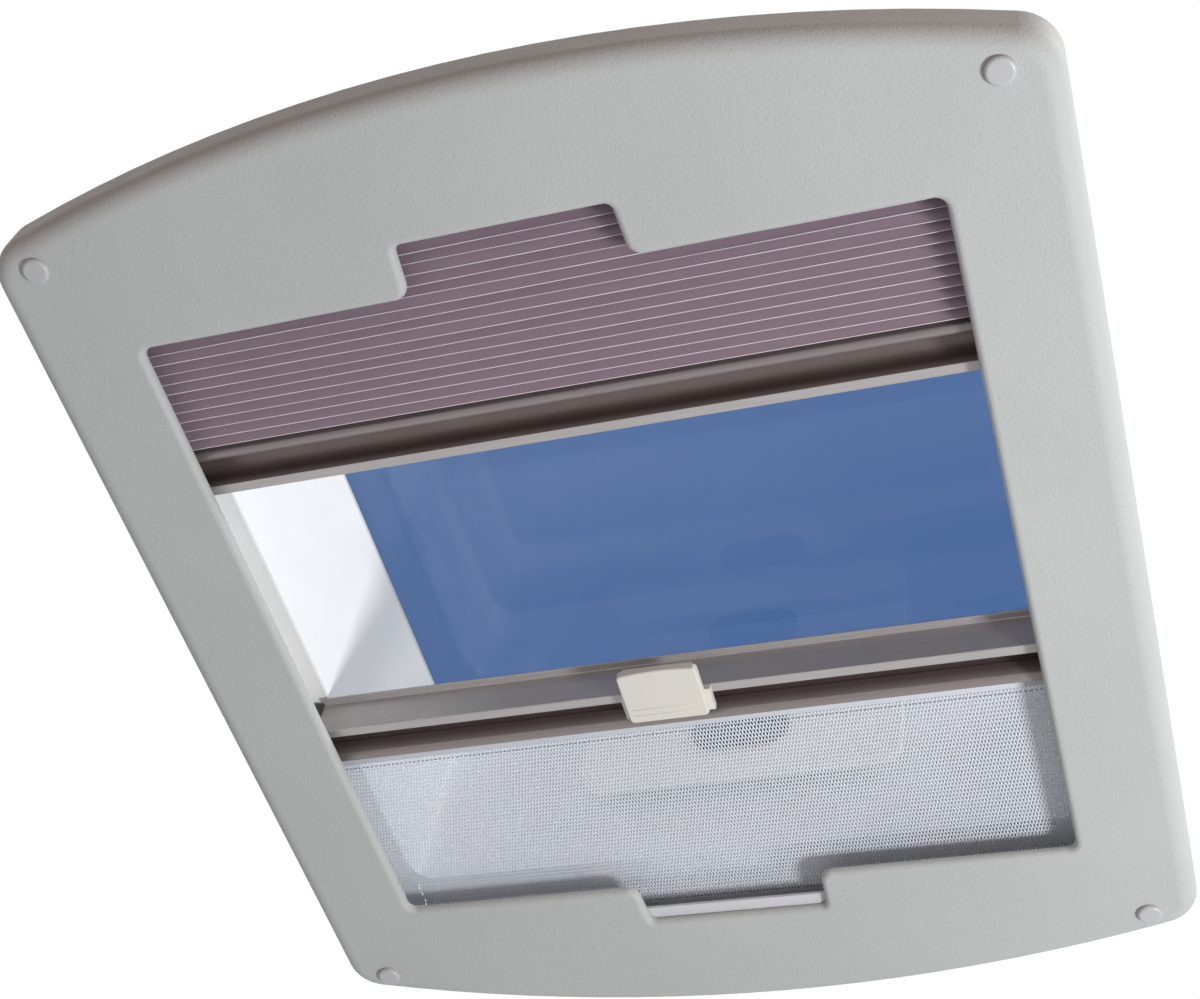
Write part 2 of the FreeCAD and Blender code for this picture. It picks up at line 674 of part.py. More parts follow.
def knuckle_spans():
    """Thirds of a hinge along X, with a small gap between them."""
    third = HINGE_WIDTH / 3
    half = HINGE_WIDTH / 2
    return [(-half + third * i + HINGE_SIDE_GAP, -half + third * (i + 1) - HINGE_SIDE_GAP) for i in range(3)]


def hinge_bracket(x):
    """The fixed half of a hinge: a plate on the shaft's outside and an arm out to two knuckles."""
    half = HINGE_WIDTH / 2
    wall = -SHAFT_LENGTH / 2 - SHAFT_WALL
    arm_top = SHAFT_TOP - RIM_THICKNESS
    plate = block(x - half, x + half, wall - HINGE_PLATE, wall, arm_top - HINGE_WALL_PLATE, arm_top)
    arm = block(x - half, x + half, HINGE_Y, wall, arm_top - HINGE_PLATE, arm_top)
    solid = plate.fuse(arm)
    web_near, web_far = HINGE_Y - HINGE_PLATE / 2, HINGE_Y + HINGE_PLATE / 2
    for low, high in (knuckle_spans()[0], knuckle_spans()[2]):
        knuckle = rod(HINGE_KNUCKLE_R, x + low, x + high, HINGE_Y, HINGE_Z)
        web = block(x + low, x + high, web_near, web_far, arm_top - HINGE_PLATE, HINGE_Z)
        solid = solid.fuse([knuckle, web])
    return solid.cut(rod(HINGE_PIN_R, x - half, x + half, HINGE_Y, HINGE_Z)).removeSplitter()


def hinge_leaf(x):
    """The moving half of a hinge: a leaf on the lid's rim and one knuckle."""
    low, high = knuckle_spans()[1]
    half = HINGE_WIDTH / 2
    edge = -LID_HALF_Y
    leaf_top = RIM_TOP_Z + HINGE_PLATE
    leaf = block(x - half, x + half, edge - HINGE_PLATE, edge + LID_RIM, RIM_TOP_Z, leaf_top)
    drop = block(x + low, x + high, HINGE_Y, edge, RIM_TOP_Z, leaf_top)
    solid = leaf.fuse([drop, rod(HINGE_KNUCKLE_R, x + low, x + high, HINGE_Y, HINGE_Z)])
    half_bore = HINGE_PIN_R + HINGE_FIT
    return solid.cut(rod(half_bore, x - half, x + half, HINGE_Y, HINGE_Z)).removeSplitter()


def hinge_pin(x):
    """The pin that joins the two halves of a hinge."""
    half = HINGE_WIDTH / 2 - HINGE_SIDE_GAP
    return rod(HINGE_PIN_R, x - half, x + half, HINGE_Y, HINGE_Z)


save(trim_frame(), "trim_frame")
for place_name, screw_x, screw_y in screw_places():
    save(screw_cap(screw_x, screw_y), "screw_cap_" + place_name)
    save(trim_screw(screw_x, screw_y), "trim_screw_" + place_name)
save(roof_frame(), "roof_frame")
save(lid_seal(), "lid_seal")

right_rail = guide_rail()
save(right_rail, "guide_rail_right")
save(mirrored(right_rail, Vector(1, 0, 0)), "guide_rail_left")
save(cassette(), "blackout_cassette")
save(screen_cassette(), "screen_cassette")
save(screen_roller(), "screen_roller")

for bar_name, bar_y in (("blackout", BLACKOUT_BAR_Y), ("screen", SCREEN_BAR_Y)):
    save(pull_bar(bar_y), bar_name + "_bar")
    right_slider = end_slider(bar_y)
    save(right_slider, bar_name + "_slider_right")
    save(mirrored(right_slider, Vector(1, 0, 0)), bar_name + "_slider_left")
save(blackout_pleats(), "blackout_pleats")
save(screen_hem(), "screen_hem")
save(screen_mesh(), "screen_mesh")
save(screen_catch(), "screen_catch")

save(inner_pane(), "inner_pane")
save(dome_pane(), "dome_pane")
save(lid_handle(), "lid_handle")
save(lid_lock(), "lid_lock")
for side, hinge_x in (("left", -HINGE_SPACING / 2), ("right", HINGE_SPACING / 2)):
    save(hinge_bracket(hinge_x), "hinge_bracket_" + side)
    save(hinge_leaf(hinge_x), "hinge_leaf_" + side)
    save(hinge_pin(hinge_x), "hinge_pin_" + side)
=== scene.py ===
"""Looks of a camper roof hatch: finishes, blind cloth, flyscreen and fine pieces round the frame."""
import logging
import math
from dataclasses import dataclass, field
from enum import Enum
from typing import Callable

import bmesh
import bpy
from mathutils import Matrix, Vector


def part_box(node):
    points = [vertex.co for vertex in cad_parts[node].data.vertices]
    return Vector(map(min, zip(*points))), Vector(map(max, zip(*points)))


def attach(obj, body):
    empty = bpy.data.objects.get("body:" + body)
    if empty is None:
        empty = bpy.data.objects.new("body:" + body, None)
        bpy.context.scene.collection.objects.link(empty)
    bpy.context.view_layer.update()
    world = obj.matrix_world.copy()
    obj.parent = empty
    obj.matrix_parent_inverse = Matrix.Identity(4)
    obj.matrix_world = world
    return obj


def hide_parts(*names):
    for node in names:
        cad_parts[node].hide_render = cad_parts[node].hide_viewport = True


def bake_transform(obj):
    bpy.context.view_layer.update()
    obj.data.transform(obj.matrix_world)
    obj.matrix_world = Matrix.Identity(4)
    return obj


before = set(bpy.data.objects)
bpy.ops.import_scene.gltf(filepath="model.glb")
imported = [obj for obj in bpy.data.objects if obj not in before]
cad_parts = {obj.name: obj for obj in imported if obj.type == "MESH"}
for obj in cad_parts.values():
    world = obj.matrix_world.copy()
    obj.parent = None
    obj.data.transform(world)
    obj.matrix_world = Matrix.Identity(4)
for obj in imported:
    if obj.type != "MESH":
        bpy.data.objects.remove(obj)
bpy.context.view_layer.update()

Colour = tuple[float, float, float]
Point = tuple[float, float, float]
Corner = tuple[float, float, float]

log = logging.getLogger("roof_hatch")


class Body(str, Enum):
    """The bodies that a piece can ride on."""

    FRAME = "frame"
    BLACKOUT = "blackout"
    FLYSCREEN = "flyscreen"
    LID = "lid"


class Side(Enum):
    """The two ways along Y, seen from the opening."""

    NEAR = -1.0
    FAR = 1.0


class Wiring:
    """Adds nodes to one node tree and joins their sockets."""

    def __init__(self, tree: bpy.types.NodeTree) -> None:
        """Keeps the tree that the nodes go into."""
        self.tree = tree

    def feed(self, socket: bpy.types.NodeSocket, value: object) -> None:
        """Links a socket to an input, or sets the input's own value.

        Args:
            socket: The input to fill.
            value: An output socket, a number, or a sequence of numbers.
        """
        if isinstance(value, bpy.types.NodeSocket):
            self.tree.links.new(value, socket)
        elif socket.type == "RGBA":
            socket.default_value = (*value, 1.0)
        else:
            socket.default_value = value

    def add(self, kind: str, settings: dict | None = None, **inputs: object) -> bpy.types.Node:
        """Adds a node, sets its properties and fills its inputs.

        Args:
            kind: The node's type name.
            settings: Properties of the node itself.
            inputs: Values or sockets by input name, with underscores for spaces.

        Returns:
            The new node.
        """
        node = self.tree.nodes.new(kind)
        for key, value in (settings or {}).items():
            setattr(node, key, value)
        for key, value in inputs.items():
            self.feed(node.inputs[key.replace("_", " ")], value)
        return node

    def math(self, operation: str, *values: object) -> bpy.types.NodeSocket:
        """Adds a math node.

        Args:
            operation: The node's operation.
            values: Its operands, sockets or numbers.

        Returns:
            The result's socket.
        """
        node = self.add("ShaderNodeMath", {"operation": operation})
        for socket, value in zip(node.inputs, values):
            self.feed(socket, value)
        return node.outputs[0]

    def span(
        self, value: object, low: float, high: float, to_low: float = 0.0, to_high: float = 1.0
    ) -> bpy.types.NodeSocket:
        """Maps a value from one range to another, clamped.

        Args:
            value: The socket to map.
            low: Start of the range that is read.
            high: End of the range that is read.
            to_low: Result at the start.
            to_high: Result at the end.

        Returns:
            The result's socket.
        """
        node = self.add(
            "ShaderNodeMapRange", None,
            Value=value, From_Min=low, From_Max=high, To_Min=to_low, To_Max=to_high,
        )
        return node.outputs[0]

    def blend(self, factor: object, first: object, second: object) -> bpy.types.NodeSocket:
        """Mixes two colours.

        Args:
            factor: Share of the second colour.
            first: The colour at factor 0.
            second: The colour at factor 1.

        Returns:
            The mixed colour's socket.
        """
        node = self.add("ShaderNodeMix", {"data_type": "RGBA"})
        colours = [s for s in node.inputs if s.type == "RGBA"]
        self.feed(node.inputs[0], factor)
        self.feed(colours[0], first)
        self.feed(colours[1], second)
        return next(s for s in node.outputs if s.type == "RGBA")

    def noise(self, vector: bpy.types.NodeSocket, scale: object, detail: float) -> bpy.types.NodeSocket:
        """Adds a noise texture and returns its value socket."""
        node = self.add("ShaderNodeTexNoise", None, Vector=vector, Scale=scale, Detail=detail)
        return node.outputs[0]

    def either(self, factor: object, first: bpy.types.Node, second: bpy.types.Node) -> bpy.types.Node:
        """Mixes two shaders.

        Args:
            factor: Share of the second shader.
            first: The shader at factor 0.
            second: The shader at factor 1.

        Returns:
            The mixing node.
        """
        node = self.add("ShaderNodeMixShader")
        for socket, value in zip(node.inputs, (factor, first.outputs[0], second.outputs[0])):
            self.feed(socket, value)
        return node

    def group(
        self, tree: bpy.types.NodeTree, vector: bpy.types.NodeSocket, **inputs: object
    ) -> bpy.types.Node:
        """Adds a shader group that reads a vector and returns its node."""
        return self.add("ShaderNodeGroup", {"node_tree": tree}, Vector=vector, **inputs)

    def stretched(self, vector: bpy.types.NodeSocket, scale: Point) -> bpy.types.NodeSocket:
        """Adds a mapping that scales a vector and returns the result's socket."""
        return self.add("ShaderNodeMapping", None, Vector=vector, Scale=scale).outputs[0]


class Effects:
    """The shader groups that several finishes share, each built once."""

    CELL_SOFTNESS = 0.6
    SWELL_SCALE, SWELL_DETAIL, SWELL_SHARE = 0.45, 3.0, 0.8
    PORE_SCALE, PORE_DETAIL, PORE_RANGE = 1.1, 1.0, (0.60, 0.75)
    TONE_SCALE, TONE_DETAIL, TONE_RANGE = 9.0, 4.0, (0.3, 0.7)
    SMUDGE_SCALE, SMUDGE_DETAIL, SMUDGE_RANGE = 55.0, 6.0, (0.35, 0.7)
    LINE_STRETCH, LINE_DETAIL, LINE_RANGE = (0.012, 1.0, 1.0), 3.0, (0.3, 0.7)

    def __init__(self) -> None:
        """Builds the groups."""
        self.grain = self._group("Moulded grain", ("Pitch",), ("Height", "Pores"), self._wire_grain)
        self.handling = self._group("Handling", (), ("Tone", "Smudge"), self._wire_handling)
        self.drawn = self._group("Drawn lines", ("Pitch",), ("Height", "Tone"), self._wire_drawn)
        self.weave = self._group("Plain weave", ("Pitch",), ("Height",), self._wire_weave)

    @staticmethod
    def _group(
        name: str, inputs: tuple[str, ...], outputs: tuple[str, ...], wire: Callable[..., None]
    ) -> bpy.types.NodeTree:
        """Makes a shader group with a vector input, number inputs and number outputs.

        Args:
            name: The group's name.
            inputs: Names of its number inputs.
            outputs: Names of its number outputs.
            wire: Fills the group, given its wiring, its inputs and its outputs.

        Returns:
            The group's node tree.
        """
        tree = bpy.data.node_groups.new(name, "ShaderNodeTree")
        tree.interface.new_socket(name="Vector", in_out="INPUT", socket_type="NodeSocketVector")
        for label in inputs:
            tree.interface.new_socket(name=label, in_out="INPUT", socket_type="NodeSocketFloat")
        for label in outputs:
            tree.interface.new_socket(name=label, in_out="OUTPUT", socket_type="NodeSocketFloat")
        wiring = Wiring(tree)
        wire(wiring, wiring.add("NodeGroupInput").outputs, wiring.add("NodeGroupOutput").inputs)
        return tree

    def _wire_grain(self, wiring: Wiring, given: object, result: object) -> None:
        """Wires a leather-like grain of soft cells with fine pores.

        Args:
            wiring: The group's wiring.
            given: The group's input sockets.
            result: The group's output sockets.
        """
        scale = wiring.math("DIVIDE", 1.0, given["Pitch"])
        cells = wiring.add(
            "ShaderNodeTexVoronoi", {"feature": "SMOOTH_F1"},
            Vector=given["Vector"], Scale=scale, Smoothness=self.CELL_SOFTNESS,
        )
        swell_scale = wiring.math("MULTIPLY", scale, self.SWELL_SCALE)
        swell = wiring.noise(given["Vector"], swell_scale, self.SWELL_DETAIL)
        rounded = wiring.math("SUBTRACT", 1.0, cells.outputs["Distance"])
        swelling = wiring.math("MULTIPLY", swell, self.SWELL_SHARE)
        wiring.feed(result["Height"], wiring.math("ADD", rounded, swelling))
        pore_scale = wiring.math("MULTIPLY", scale, self.PORE_SCALE)
        specks = wiring.noise(given["Vector"], pore_scale, self.PORE_DETAIL)
        wiring.feed(result["Pores"], wiring.span(specks, *self.PORE_RANGE))

    def _wire_handling(self, wiring: Wiring, given: object, result: object) -> None:
        """Wires broad uneven toning and finer smudges.

        Args:
            wiring: The group's wiring.
            given: The group's input sockets.
            result: The group's output sockets.
        """
        broad = wiring.noise(given["Vector"], self.TONE_SCALE, self.TONE_DETAIL)
        wiring.feed(result["Tone"], wiring.span(broad, *self.TONE_RANGE))
        fine = wiring.noise(given["Vector"], self.SMUDGE_SCALE, self.SMUDGE_DETAIL)
        wiring.feed(result["Smudge"], wiring.span(fine, *self.SMUDGE_RANGE))

    def _wire_drawn(self, wiring: Wiring, given: object, result: object) -> None:
        """Wires fine lines that run along X, as on a drawn metal section.

        Args:
            wiring: The group's wiring.
            given: The group's input sockets.
            result: The group's output sockets.
        """
        scale = wiring.math("DIVIDE", 1.0, given["Pitch"])
        lines = wiring.noise(wiring.stretched(given["Vector"], self.LINE_STRETCH), scale, self.LINE_DETAIL)
        wiring.feed(result["Height"], lines)
        wiring.feed(result["Tone"], wiring.span(lines, *self.LINE_RANGE))

    @staticmethod
    def _wire_weave(wiring: Wiring, given: object, result: object) -> None:
        """Wires a plain weave of threads along both directions of the vector's first two parts.

        Args:
            wiring: The group's wiring.
            given: The group's input sockets.
            result: The group's output sockets.
        """
        parts = wiring.add("ShaderNodeSeparateXYZ", None, Vector=given["Vector"]).outputs
        turn = wiring.math("DIVIDE", math.tau / 2, given["Pitch"])
        across = wiring.math("SINE", wiring.math("MULTIPLY", parts[0], turn))
        along = wiring.math("SINE", wiring.math("MULTIPLY", parts[1], turn))
        crossing = wiring.math("MULTIPLY", across, along)
        wiring.feed(result["Height"], wiring.math("MULTIPLY_ADD", crossing, 0.5, 0.5))


EFFECTS = Effects()


def shaded(colour: Colour, share: float) -> Colour:
    """Returns a colour at a share of its brightness, no brighter than white."""
    return tuple(min(1.0, part * share) for part in colour)


class Finish:
    """What all finishes share: a named material with one Principled shader."""

    name: str

    def start(self) -> tuple[Wiring, bpy.types.Node, bpy.types.NodeSocket]:
        """Starts the material.

        Returns:
            Its wiring, its Principled node and its object coordinates.
        """
        material = bpy.data.materials.new(self.name)
        material.use_nodes = True
        material.node_tree.nodes.clear()
        wiring = Wiring(material.node_tree)
        shader = wiring.add("ShaderNodeBsdfPrincipled")
        output = wiring.add("ShaderNodeOutputMaterial")
        wiring.feed(output.inputs["Surface"], shader.outputs[0])
        place = wiring.add("ShaderNodeTexCoord").outputs["Object"]
        return wiring, shader, place

    def material(self) -> bpy.types.Material:
        """Returns the finish's material, made on first use."""
        return bpy.data.materials.get(self.name) or self.make()

    def make(self) -> bpy.types.Material:
        """Makes the material; each finish has its own way."""
        raise NotImplementedError

    @staticmethod
    def bump(wiring: Wiring, shader: bpy.types.Node, height: bpy.types.NodeSocket, depth: float) -> None:
        """Gives a shader a bump.

        Args:
            wiring: The material's wiring.
            shader: The shader whose normal is bumped.
            height: Height from 0 to 1.
            depth: What a height of 1 measures, in metres.
        """
        node = wiring.add("ShaderNodeBump", None, Height=height, Distance=depth, Strength=1.0)
        wiring.feed(shader.inputs["Normal"], node.outputs[0])


@dataclass(frozen=True)
class Moulding(Finish):
    """Moulded plastic with a grain, uneven toning and smudges."""

    name: str
    colour: Colour
    roughness: float = 0.5
    grain_pitch: float = 0.0011
    grain_depth: float = 0.00002
    tone_spread: float = 0.04
    smudge: float = 0.06
    pores: float = 0.08
    sheen: float = 0.5
    pore_share: float = 0.6

    def make(self) -> bpy.types.Material:
        """Makes the material."""
        wiring, shader, place = self.start()
        grain = wiring.group(EFFECTS.grain, place, Pitch=self.grain_pitch)
        handling = wiring.group(EFFECTS.handling, place)
        darker = shaded(self.colour, 1.0 - self.tone_spread)
        lighter = shaded(self.colour, 1.0 + self.tone_spread)
        toned = wiring.blend(handling.outputs["Tone"], darker, lighter)
        dots = wiring.math("MULTIPLY", grain.outputs["Pores"], self.pores)
        dotted = wiring.blend(dots, toned, shaded(self.colour, self.pore_share))
        wiring.feed(shader.inputs["Base Color"], dotted)
        rough = wiring.span(
            handling.outputs["Smudge"], 0.0, 1.0, self.roughness - self.smudge, self.roughness + self.smudge
        )
        wiring.feed(shader.inputs["Roughness"], rough)
        shader.inputs["Specular IOR Level"].default_value = self.sheen
        self.bump(wiring, shader, grain.outputs["Height"], self.grain_depth)
        return bpy.data.materials[self.name]


@dataclass(frozen=True)
class DrawnMetal(Finish):
    """Metal with fine lines along X and uneven gloss; a mesh attribute paints shade on it, darker and
    browner in grooves.
    """

    name: str
    colour: Colour
    roughness: float = 0.38
    line_pitch: float = 0.0004
    line_depth: float = 0.000012
    tone_spread: float = 0.08
    metallic: float = 0.75
    # Tint of the painted shade in the bars' grooves and on their lip at the fabric.
    painted_shade_tint: Colour = (0.34, 0.275, 0.26)
    gloss_spread: tuple[float, float] = (0.06, 0.08)

    def make(self) -> bpy.types.Material:
        """Makes the material."""
        wiring, shader, place = self.start()
        drawn = wiring.group(EFFECTS.drawn, place, Pitch=self.line_pitch)
        handling = wiring.group(EFFECTS.handling, place)
        darker = shaded(self.colour, 1.0 - self.tone_spread)
        lighter = shaded(self.colour, 1.0 + self.tone_spread)
        # Painted shade: the attribute darkens and browns the base colour where the bar's groove and lip lie
        # in shade.
        painted_shade = wiring.add("ShaderNodeAttribute", {"attribute_name": "painted_shade"}).outputs["Fac"]
        deep = tuple(c * tint for c, tint in zip(self.colour, self.painted_shade_tint))
        toned = wiring.blend(drawn.outputs["Tone"], darker, lighter)
        wiring.feed(shader.inputs["Base Color"], wiring.blend(painted_shade, toned, deep))
        smooth, dull = self.roughness - self.gloss_spread[0], self.roughness + self.gloss_spread[1]
        rough = wiring.span(handling.outputs["Smudge"], 0.0, 1.0, smooth, dull)
        wiring.feed(shader.inputs["Roughness"], rough)
        shader.inputs["Metallic"].default_value = self.metallic
        self.bump(wiring, shader, drawn.outputs["Height"], self.line_depth)
        return bpy.data.materials[self.name]


@dataclass(frozen=True)
class PleatCloth(Finish):
    """Pleated cloth: a fine weave with a painted highlight along the lower crease crests, read from the
    piece's own attribute.
    """

    name: str
    colour: Colour
    crease_highlight_colour: Colour
    thread_pitch: float = 0.0006
    thread_depth: float = 0.00008
    dark_share: float = 0.82
    tone_share: float = 0.25
    crease_range: tuple[float, float] = (0.93, 0.96)
    roughness: float = 0.8
    sheen: float = 0.15
    sheen_roughness: float = 0.5

    def make(self) -> bpy.types.Material:
        """Makes the material."""
        wiring, shader, place = self.start()
        cut = wiring.add("ShaderNodeUVMap", {"uv_map": "cut"}).outputs[0]
        weave = wiring.group(EFFECTS.weave, cut, Pitch=self.thread_pitch)
        handling = wiring.group(EFFECTS.handling, place)
        crease = wiring.add("ShaderNodeAttribute", {"attribute_name": "crease"}).outputs["Fac"]
        darker = shaded(self.colour, self.dark_share)
        cloth = wiring.blend(weave.outputs["Height"], darker, self.colour)
        uneven = wiring.math("MULTIPLY", handling.outputs["Tone"], self.tone_share)
        toned = wiring.blend(uneven, cloth, darker)
        # Painted highlight: near-white colour along the lower crests, where the creases catch the light.
        crease_highlight = wiring.span(crease, *self.crease_range)
        wiring.feed(shader.inputs["Base Color"], wiring.blend(crease_highlight, toned, self.crease_highlight_colour))
        shader.inputs["Roughness"].default_value = self.roughness
        shader.inputs["Sheen Weight"].default_value = self.sheen
        shader.inputs["Sheen Roughness"].default_value = self.sheen_roughness
        self.bump(wiring, shader, weave.outputs["Height"], self.thread_depth)
        return bpy.data.materials[self.name]


@dataclass(frozen=True)
class Yarn(Finish):
    """Smooth plastic-coated yarn of the flyscreen."""

    name: str
    colour: Colour
    dark_share: float = 0.92
    roughness: tuple[float, float] = (0.4, 0.6)

    def make(self) -> bpy.types.Material:
        """Makes the material."""
        wiring, shader, place = self.start()
        handling = wiring.group(EFFECTS.handling, place)
        darker = shaded(self.colour, self.dark_share)
        toned = wiring.blend(handling.outputs["Tone"], darker, self.colour)
        wiring.feed(shader.inputs["Base Color"], toned)
        rough = wiring.span(handling.outputs["Smudge"], 0.0, 1.0, *self.roughness)
        wiring.feed(shader.inputs["Roughness"], rough)
        return bpy.data.materials[self.name]


@dataclass(frozen=True)
class HemWeave(Finish):
    """Close-woven tape of the screen's hem."""

    name: str
    colour: Colour
    thread_pitch: float = 0.0008
    thread_depth: float = 0.00012
    dark_share: float = 0.78
    roughness: float = 0.75

    def make(self) -> bpy.types.Material:
        """Makes the material."""
        wiring, shader, place = self.start()
        weave = wiring.group(EFFECTS.weave, place, Pitch=self.thread_pitch)
        darker = shaded(self.colour, self.dark_share)
        toned = wiring.blend(weave.outputs["Height"], darker, self.colour)
        wiring.feed(shader.inputs["Base Color"], toned)
        shader.inputs["Roughness"].default_value = self.roughness
        self.bump(wiring, shader, weave.outputs["Height"], self.thread_depth)
        return bpy.data.materials[self.name]


@dataclass(frozen=True)
class ClearPane(Finish):
    """Clear acrylic that lets lamp light straight through, also from inside its low edge."""

    name: str
    colour: Colour
    edge_top: float = 0.0
    edge_fade: float = 0.004
    roughness: float = 0.002
    ior: float = 1.33
    light_tint: Colour = (0.94, 0.95, 0.96)

    def make(self) -> bpy.types.Material:
        """Makes the material."""
        wiring, shader, place = self.start()
        handling = wiring.group(EFFECTS.handling, place)
        wiring.feed(shader.inputs["Base Color"], self.colour)
        rough = wiring.span(handling.outputs["Smudge"], 0.0, 1.0, 0.0, self.roughness)
        wiring.feed(shader.inputs["Roughness"], rough)
        shader.inputs["IOR"].default_value = self.ior
        shader.inputs["Transmission Weight"].default_value = 1.0
        path = wiring.add("ShaderNodeLightPath").outputs
        height = wiring.add("ShaderNodeSeparateXYZ", None, Vector=place).outputs[2]
        edge = wiring.span(height, self.edge_top, self.edge_top + self.edge_fade, 1.0, 0.0)
        inside = wiring.math("MULTIPLY", edge, path["Is Transmission Ray"])
        lighting = wiring.math("MAXIMUM", path["Is Shadow Ray"], path["Is Diffuse Ray"])
        passing = wiring.math("MAXIMUM", lighting, inside)
        through = wiring.add("ShaderNodeBsdfTransparent", None, Color=self.light_tint)
        either = wiring.either(passing, shader, through)
        output = next(n for n in wiring.tree.nodes if n.type == "OUTPUT_MATERIAL")
        wiring.feed(output.inputs["Surface"], either.outputs[0])
        return bpy.data.materials[self.name]


TRIM_GREY = Moulding(
    "Grained light grey", (0.452, 0.470, 0.464), 0.6, 0.0011, 0.00011, 0.03, pores=0.18, sheen=0.2
)
CAP_GREY = Moulding("Smooth cap grey", (0.45, 0.458, 0.465), 0.42, 0.0006, 0.00001)
SHAFT_WHITE = Moulding("Shaft white", (0.87, 0.88, 0.88), 0.35, 0.0016, 0.00001, 0.01)
RAIL_GREY = Moulding("Rail light grey", (0.73, 0.73, 0.725), 0.42, 0.0009, 0.00001)
CASSETTE_GREY = Moulding("Cassette grey", (0.56, 0.57, 0.60), 0.45, 0.0009, 0.00001)
SLIDER_BLACK = Moulding("Slider black", (0.02, 0.02, 0.021), 0.5, 0.0007, 0.00002)
CREAM = Moulding("Cream moulding", (0.66, 0.645, 0.585), 0.4, 0.0007, 0.00001, 0.03)
HANDLE_CREAM = Moulding("Pale cream handle", (0.88, 0.87, 0.81), 0.4, 0.0007, 0.00001, 0.03)
LOCK_DARK = Moulding("Dark lock", (0.05, 0.05, 0.055), 0.4, 0.0007, 0.00001)
HINGE_WHITE = Moulding("Hinge white", (0.78, 0.78, 0.77), 0.42, 0.0009, 0.00001)
SEAL_RUBBER = Moulding("Pale seal rubber", (0.60, 0.61, 0.62), 0.75, 0.0005, 0.00003)
BAR_METAL = DrawnMetal("Anodised bar", (0.385, 0.365, 0.362), metallic=0.35)
ROLLER_METAL = DrawnMetal("Roller tube", (0.62, 0.62, 0.63), 0.3)
SCREW_STEEL = DrawnMetal("Plated screw", (0.55, 0.54, 0.52), 0.32, metallic=1.0)
# The second colour is the painted highlight along the blind's lower crease crests.
BLIND_CLOTH = PleatCloth("Mauve pleat cloth", (0.52, 0.42, 0.485), (0.98, 0.95, 0.98))
SCREEN_YARN = Yarn("Pale screen yarn", (0.68, 0.73, 0.79))
HEM_WEAVE = HemWeave("Pale hem weave", (0.62, 0.65, 0.70))
STITCH_THREAD = Yarn("Blue-grey stitch thread", (0.16, 0.20, 0.27))
PANE_CLEAR = ClearPane("Clear acrylic", (1.0, 1.0, 1.0))
DOME_CLEAR = ClearPane("Clear acrylic dome", (1.0, 1.0, 1.0), edge_top=0.182)


def dress(node: str, finish: Finish) -> None:
    """Gives a node of the frame its finish.

    Args:
        node: The node's name.
        finish: The finish to use.
    """
    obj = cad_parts[node]
    if obj.data.materials:
        for slot in obj.material_slots:
            slot.material = finish.material()
    else:
        obj.data.materials.append(finish.material())
    log.info("%s dressed in %s", node, finish.name)


@dataclass
class Piece:
    """A new mesh piece on its way into the scene."""

    name: str
    finish: Finish
    slot: str
    sharp_angle: float = math.radians(35)
    shape: bmesh.types.BMesh = field(default_factory=bmesh.new)

    def block(self, low: Point, high: Point) -> list[bmesh.types.BMVert]:
        """Adds a box between two corners.

        Args:
            low: Its lowest corner.
            high: Its highest corner.

        Returns:
            The box's vertices.
        """
        size = Vector(high) - Vector(low)
        middle = (Vector(high) + Vector(low)) / 2
        place = Matrix.Translation(middle) @ Matrix.Diagonal((*size, 1.0))
        return bmesh.ops.create_cube(self.shape, size=1.0, matrix=place)["verts"]

    def draw(self, corners: list[Corner], start: float, end: float, segments: int) -> None:
        """Draws a closed section along X.

        Args:
            corners: Y, Z and rounding of each corner.
            start: Where the section starts along X.
            end: Where it ends along X.
            segments: Facets of each rounding.
        """
        verts = [self.shape.verts.new((start, y, z)) for y, z, _ in corners]
        self.shape.faces.new(verts)
        for vert, (_, _, rounding) in zip(verts, corners):
            bmesh.ops.bevel(
                self.shape, geom=[vert], offset=rounding, affect="VERTICES", segments=segments,
                profile=0.5, material=-1,
            )
        drawn = bmesh.ops.extrude_face_region(self.shape, geom=self.shape.faces[:], use_keep_orig=True)
        moved = [g for g in drawn["geom"] if isinstance(g, bmesh.types.BMVert)]
        bmesh.ops.translate(self.shape, verts=moved, vec=(end - start, 0, 0))
        bmesh.ops.recalc_face_normals(self.shape, faces=self.shape.faces[:])

    def round_edges(self, edges: list[bmesh.types.BMEdge], offset: float, segments: int) -> None:
        """Rounds edges of the piece.

        Args:
            edges: The edges to round.
            offset: Where the rounding starts beside each edge.
            segments: Facets of the rounding.
        """
        bmesh.ops.bevel(
            self.shape, geom=edges, offset=offset, affect="EDGES", segments=segments,
            profile=0.5, material=-1,
        )

    def finish_mesh(self) -> bpy.types.Object:
        """Writes the mesh and links the object.

        Returns:
            The new object, at the origin.
        """
        mesh = bpy.data.meshes.new(self.name)
        self.shape.to_mesh(mesh)
        self.shape.free()
        mesh.materials.append(self.finish.material())
        mesh.shade_smooth()
        mesh.set_sharp_from_angle(angle=self.sharp_angle)
        obj = bpy.data.objects.new(self.name, mesh)
        bpy.context.scene.collection.objects.link(obj)
        log.info("%s has %d faces", self.name, len(mesh.polygons))
        return obj

    def riding(self, body: Body, *nodes: str) -> bpy.types.Object:
        """Writes the mesh, lets it ride on a body and stand for nodes.

        Args:
            body: The body that it moves with.
            nodes: Nodes of the frame that it stands for.

        Returns:
            The new object.
        """
        obj = self.finish_mesh()
        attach(obj, body.value)
        if nodes:
            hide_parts(*nodes)
        return obj


def even_blend(obj: bpy.types.Object) -> None:
    """Bakes the cloth's place into its mesh.

    Args:
        obj: The cloth.
    """
    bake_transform(obj)


CORNERS = ("near_left", "near_right", "far_left", "far_right")
SIDES = ("left", "right")


@dataclass
class InnerTrim:
    """The grained trim, its caps and its screws."""

    def build(self) -> None:
        """Dresses the trim's nodes."""
        dress("trim_frame", TRIM_GREY)
        for corner in CORNERS:
            dress("screw_cap_" + corner, CAP_GREY)
            dress("trim_screw_" + corner, SCREW_STEEL)


